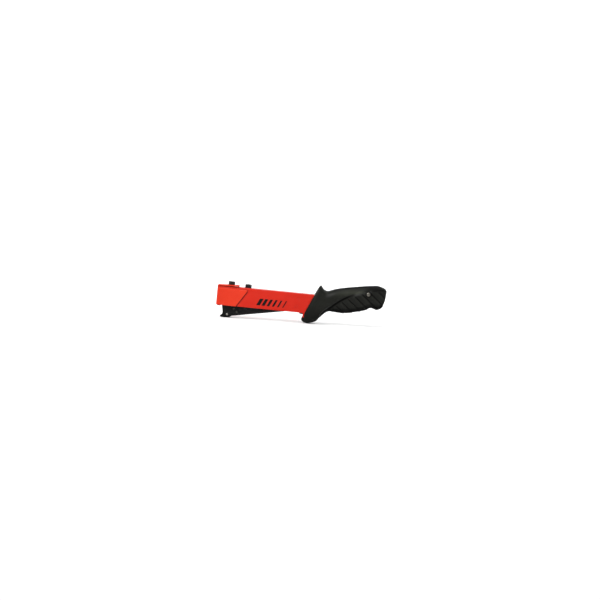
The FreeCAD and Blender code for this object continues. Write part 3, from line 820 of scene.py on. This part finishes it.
def normals(grid):
    """Outward unit normals of a grid of points."""
    along_rows = np.gradient(grid, axis=0)
    round_rows = (np.roll(grid, -1, axis=1) - np.roll(grid, 1, axis=1)) / 2
    n = np.cross(round_rows, along_rows)
    n /= np.maximum(np.linalg.norm(n, axis=-1, keepdims=True), 1e-9)
    middle = grid.mean(axis=1, keepdims=True)
    return n * np.sign(np.sum(n * (grid - middle), axis=-1, keepdims=True).mean())


def grid_solid(grid, name):
    """A closed object from a grid of points, with a fan over each end."""
    rows, columns = grid.shape[:2]
    verts = [tuple(p) for p in grid.reshape(-1, 3)]
    verts += [tuple(grid[0].mean(axis=0)), tuple(grid[-1].mean(axis=0))]
    faces = []
    for i in range(rows - 1):
        for j in range(columns):
            k = (j + 1) % columns
            faces.append((i * columns + j, i * columns + k, (i + 1) * columns + k, (i + 1) * columns + j))
    first, last = rows * columns, rows * columns + 1
    for j in range(columns):
        k = (j + 1) % columns
        faces.append((first, k, j))
        faces.append((last, (rows - 1) * columns + j, (rows - 1) * columns + k))
    mesh = bpy.data.meshes.new(name)
    mesh.from_pydata(verts, [], faces)
    bm = bmesh.new()
    bm.from_mesh(mesh)
    bmesh.ops.recalc_face_normals(bm, faces=bm.faces)
    bm.to_mesh(mesh)
    bm.free()
    obj = bpy.data.objects.new(name, mesh)
    bpy.context.scene.collection.objects.link(obj)
    return obj


ROWS, COLUMNS = ((340, 230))
base = even(grip_surface(ROWS, COLUMNS))
facing = normals(base)
distance = sweep_distance(base[..., 0], base[..., 2])
sideways = np.abs(facing[..., 1])

# in front the moulding rolls down to the cover; behind the palm the edge turns into an upward facet
behind = smooth(base[..., 0], 240, 262)
facet = smooth(base[..., 0], 246, 256) * (1 - smooth(base[..., 0], 272, 286))
above, below_edge = np.maximum(-distance, 0), np.maximum(distance, 0)
shoulder = SHOULDER_D * (1 - smooth(above, 0, SHOULDER_W)) * smooth(base[..., 0], *SWEEP_RISE)
roof_slope = 0.28 * np.minimum(above, 7.0) * sideways
core_drop = (1 - behind) * shoulder + behind * roof_slope + 1.6 * facet * (1 - smooth(above, 0, 2.5))
core_grid = base - facing * core_drop[..., None]

# soft cover: set down along the sweep, and each rib climbs towards the next groove
set_down = (SHOULDER_D + 0.25) * (1 - behind) * (1 - smooth(below_edge, 0, 15))
set_down = set_down * smooth(base[..., 0], *SWEEP_RISE)
chamfer = 1.7 * facet * (1 - np.clip(below_edge / 5.5, 0, 1))
climb = groove_phase(base[..., 0], base[..., 2])
rib = 0.9 * (1 - climb ** 2) * smooth(below_edge, GROOVE_AWAY, GROOVE_AWAY + 5)
cover_grid = base - facing * (set_down + chamfer + rib + SOFT_IN)[..., None]

# the two mouldings are parted along the sweep
BELOW = [(330, -60), (193.5, -60)]      # closes an outline round everything behind and below the sweep
core = grid_solid(core_grid, "core")
soft = grid_solid(cover_grid, "soft")
zone = solid(prism([*sweep_line, (330, 59), *BELOW], -FAR, FAR))
for piece, how in ((core, "DIFFERENCE"), (soft, "INTERSECT")):
    combine(piece, [twin_of(zone)], how, "MANIFOLD")
drop(zone)

# grooves are cut into the soft cover, down to a floor that follows the grip
tangent = np.gradient(sweep_line, axis=0)
sideways_off = np.stack([tangent[:, 1], -tangent[:, 0]], axis=1)
groove_line = sweep_line + GROOVE_AWAY * sideways_off / np.linalg.norm(tangent, axis=1, keepdims=True)
groove_zone = solid(prism([*groove_line, (330, 56), *BELOW], -FAR, FAR))
groove_floor = grid_solid(even(grip_surface(160, 120, GROOVE_D)), "groove_floor")
combine(groove_zone, [groove_floor], "DIFFERENCE", "MANIFOLD")
for k in range(-4, 5):      # counted from the groove at GROOVE_START
    cutter = combine(groove_cutter(k), [twin_of(groove_zone)], "INTERSECT", "MANIFOLD")
    combine(soft, [cutter], "DIFFERENCE", "MANIFOLD")
drop(groove_zone)

# the core is filled under the cover, and the cover is hollowed to fit over it
combine(core, [grid_solid(even(grip_surface(120, 96, SOFT_T)), "filler")], "UNION", "MANIFOLD")
hollow = grid_solid(even(grip_surface(120, 96, SOFT_T - SOFT_GAP)), "hollow")
combine(soft, [hollow], "DIFFERENCE", "MANIFOLD")
for piece in (core, soft):
    for low, high in ((-30, -RECESS_Y), (RECESS_Y, 30)):
        combine(piece, [rod(SCREW.x, SCREW.z, RECESS_R, low, high, 56)], "DIFFERENCE", "MANIFOLD")

crown_line = np.array([crown for _, crown, _, _ in STATIONS])
foot_line = np.array([foot for foot, _, _, _ in STATIONS])


def hump(x, middle, width):
    return np.exp(-((x - middle) / width) ** 2)


def painted_grip_shading(x, z, ribbed):
    """Painted shade and highlight of the grip in the side view, from 1 where shade is painted dark to -1
    where a highlight is painted pale.
    """
    below_crown = np.interp(x, crown_line[:, 0], crown_line[:, 1]) - z
    over_foot = z - np.interp(x, foot_line[:, 0], foot_line[:, 1])
    from_sweep = sweep_distance(x, z)
    # painted shade: the crown from the lip to the butt, the underside of the palm, the lobe and the sweep's
    # valley
    crown = (1 - smooth(below_crown, 1.5, 4.0)) * smooth(x, 203, 222)
    rear_edge = 50.2 + 0.134 * (x - 279.3)
    rear = 0.75 * smooth(z, rear_edge - 0.4, rear_edge + 0.9) * smooth(x, 266, 282)
    palm = (1 - smooth(over_foot, 3.0, 13.0)) * smooth(x, 196, 215)
    lobe = 0.45 * (1 - smooth(z, -8.0, 22.0))
    valley = 1 - smooth(np.abs(from_sweep - 0.3), 0.9, 2.6)
    valley = valley * smooth(x, *SWEEP_RISE) * (1 - smooth(x, 236, 256))
    dark = np.maximum.reduce([np.maximum(crown, rear), palm, lobe, valley])
    if ribbed:
        # painted shade in the grooves, with a painted highlight streak along the high side of each rib
        from_groove = groove_phase(x, z) * GROOVE_PITCH
        from_groove = np.where(from_groove > GROOVE_PITCH / 2, from_groove - GROOVE_PITCH, from_groove)
        on_ribs = smooth(from_sweep, GROOVE_AWAY, GROOVE_AWAY + 2)
        dark = np.maximum(dark, 0.75 * on_ribs * (1 - smooth(np.abs(from_groove), 0.5, 1.4)))
        dark = dark - 0.16 * on_ribs * hump(from_groove, -3.4, 1.6) * (1 - palm)
    # painted highlight: the upper flank in front of the palm, and a patch on the facet behind the sweep
    flank = hump(below_crown, 9.5, 4.5) * smooth(x, 205, 240) * (1 - smooth(x, 248, 268))
    patch = hump(x, 262.0, 8.5) * hump(z - 0.30 * (x - 262.0), 47.0, 2.4)
    return np.clip(dark - 0.50 * flank * (1 - dark) - patch, -1, 1)


# the grip's painted shade and highlight are stored in the point attribute named shade
for piece in (core, soft):
    co = np.empty(len(piece.data.vertices) * 3)
    piece.data.vertices.foreach_get("co", co)
    shade = painted_grip_shading(co[0::3], co[2::3], piece is soft).astype(np.float32)
    piece.data.attributes.new("shade", "FLOAT", "POINT").data.foreach_set("value", shade)
place(core, "grip_core_moulding", BODY, SHELL, "tool_body", ["grip_core"], 38.0, False)
place(soft, "grip_cover_moulding", BODY, SOFT, "tool_body", ["grip_cover"], 45.0, False)

# ------------------------------------------------------------------ grip screw
DOME_R, DOME_FOOT, DOME_RISE = 4.2, 0.25, 2.1
arc = [math.pi / 2 * k / 10 for k in range(1, 10)]
dome = [(0, -3.0), (2.5, -3.0), (2.5, 0.0), (DOME_R - 0.1, 0.0), (DOME_R, DOME_FOOT)]
dome += [(DOME_R * math.cos(a), DOME_FOOT + DOME_RISE * math.sin(a)) for a in arc]
dome += [(0, DOME_FOOT + DOME_RISE)]
face_out = Matrix.Translation((SCREW.x, -RECESS_Y, SCREW.z)) @ Matrix.Rotation(math.radians(90), 4, "X")
screw_head = solid(lathe(dome, 56), face_out)
screw_shank = rod(SCREW.x, SCREW.z, 2.45, -12.0, 14.3)
place(joined([screw_head, screw_shank]), "grip_screw_domed", BODY, DOME, "tool_body",
      ["grip_screw"], 50.0)

# ------------------------------------------------------------------ CAD nodes that stay
STAY = {
    "striker_block": BLOCK, "driver_blade": GROUND, "blade_rivets": ZINC, "spring_cup": ZINC,
    "bump_stop": STOP, "magazine_pin": RED, "hang_pin": RED, "grip_nut": DOME, "spring_seat": BLACK,
    "pivot_bush": ZINC, "staple_rail": OXIDE, "guide_rod": GROUND, "follower": OXIDE, "rail_latch": BLACK,
}
for name, material in STAY.items():
    obj = nodes[name]
    for material_slot in obj.material_slots:
        material_slot.material = material
    weld = obj.modifiers.new("weld", "WELD")
    weld.merge_threshold = 0.01 * MM
    edge = obj.modifiers.new("edge", "BEVEL")
    edge.width = 0.15 * MM
    edge.segments = 2
    edge.limit_method = "ANGLE"
    edge.angle_limit = math.radians(50)

# ------------------------------------------------------------------ stage, light, camera
scene = bpy.context.scene
scene.view_settings.view_transform = "Standard"

# in metres: a floor that curves up into a back wall
paper = Look("pale_paper")
paper_tone = paper.mix(paper.ramp(paper.noise(3.0, 2.0), 0.3, 0.7), (0.93, 0.93, 0.93), (0.96, 0.96, 0.96))
paper.set(color=paper_tone, rough=0.9, normal=paper.bump(paper.noise(900.0, 2.0), 0.00002, 0.2))
COVE_R, BACK, FRONT, TALL, SPAN = 1.2, 2.2, -4.5, 3.5, 5.0
arc = [math.pi / 2 * k / 16 for k in range(17)]
cove = [(BACK - COVE_R + COVE_R * math.sin(a), COVE_R - COVE_R * math.cos(a)) for a in arc]
paper_line = [(FRONT, 0.0), *cove, (BACK, TALL)]
bm = bmesh.new()
sides = [[bm.verts.new((x, y, z)) for y, z in paper_line] for x in (-SPAN, SPAN)]
for i in range(len(paper_line) - 1):
    bm.faces.new((sides[0][i], sides[1][i], sides[1][i + 1], sides[0][i + 1]))
backdrop = solid(bm, None, "backdrop")
for poly in backdrop.data.polygons:
    poly.use_smooth = True
backdrop.data.materials.append(paper.material)

world = bpy.data.worlds.new("studio")
scene.world = world
world.use_nodes = True
world.node_tree.nodes["Background"].inputs["Color"].default_value = (1.0, 1.0, 1.0, 1.0)
world.node_tree.nodes["Background"].inputs["Strength"].default_value = 0.50


def area(name, stand, target, size, power):
    """A rectangular light that stands at one point and faces another."""
    data = bpy.data.lights.new(name, "AREA")
    data.shape = "RECTANGLE"
    data.size, data.size_y = size
    data.energy = power
    lamp = bpy.data.objects.new(name, data)
    lamp.location = stand
    lamp.rotation_euler = (Vector(target) - Vector(stand)).to_track_quat("-Z", "Y").to_euler()
    scene.collection.objects.link(lamp)


area("key", (-1.0, -1.35, 1.55), (0, 0, 0.04), (0.8, 0.6), 43.0)
area("fill", (1.2, -1.7, 0.9), (0, 0, 0.04), (1.2, 0.8), 4.0)
area("top", (0.1, -0.25, 1.9), (0, 0, 0.0), (1.0, 0.4), 5.0)
area("wash", (0.8, 0.9, 1.9), (0.8, 2.2, 0.5), (2.4, 0.6), 40.0)

LENS, SENSOR = 100.0, 36.0              # millimetres
FRAME_WIDTH = 1.109                     # what the picture's width spans at the tool, in metres
ELEVATION, ROLL = 4.0, 4.3              # degrees
AIM = Vector((-0.0024, 0.0, 0.0418))
distance_out = FRAME_WIDTH * LENS / SENSOR
camera_data = bpy.data.cameras.new("camera")
camera_data.lens = LENS
camera_data.sensor_width = SENSOR
camera_data.clip_end = 50.0
camera = bpy.data.objects.new("camera", camera_data)
rise = math.radians(ELEVATION)
camera.location = AIM + Vector((0, -math.cos(rise), math.sin(rise))) * distance_out
aimed = (AIM - camera.location).to_track_quat("-Z", "Y").to_matrix().to_4x4()
camera.rotation_euler = (aimed @ Matrix.Rotation(math.radians(ROLL), 4, "Z")).to_euler()
scene.collection.objects.link(camera)
scene.camera = camera
